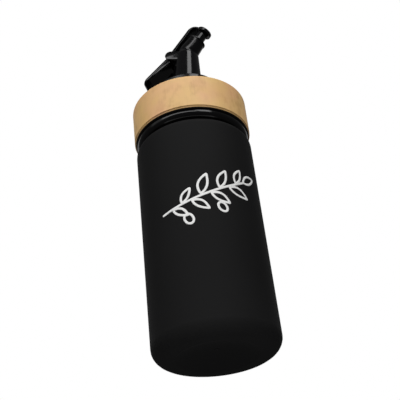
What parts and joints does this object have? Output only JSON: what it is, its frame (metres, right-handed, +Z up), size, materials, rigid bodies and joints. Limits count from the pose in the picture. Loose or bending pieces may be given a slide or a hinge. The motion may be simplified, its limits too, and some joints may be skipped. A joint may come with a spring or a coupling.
{
  "type": "oil cruet",
  "caption": "Straight matte black oil bottle with a bamboo-ringed lid and a leaning plastic pourer closed by a flip lever.",
  "frame": {"origin": "centre of the base, on the surface that the bottle stands on", "axes": "+Z up along the bottle's axis, +X the way the nozzle leans"},
  "size_m": [0.0672, 0.0672, 0.2191],
  "materials": {
    "matte_black_coating": "soft matte black coating on glass",
    "gloss_black_plastic": "glossy moulded black plastic",
    "bamboo": "sanded bamboo with fine grain along the height"
  },
  "bodies": {
    "bottle": {"bottle_body": "matte_black_coating", "lid_core": "gloss_black_plastic", "bamboo_ring": "bamboo", "pour_spout": "gloss_black_plastic"},
    "lever": {"flip_lever": "gloss_black_plastic"}
  },
  "joints": [
    {"name": "lever_flip", "type": "hinge", "parent": "bottle", "child": "lever", "pos_m": [-0.0067, 0, 0.1982], "axis": [0, -1, 0], "range_deg": [0, 20]}
  ]
}
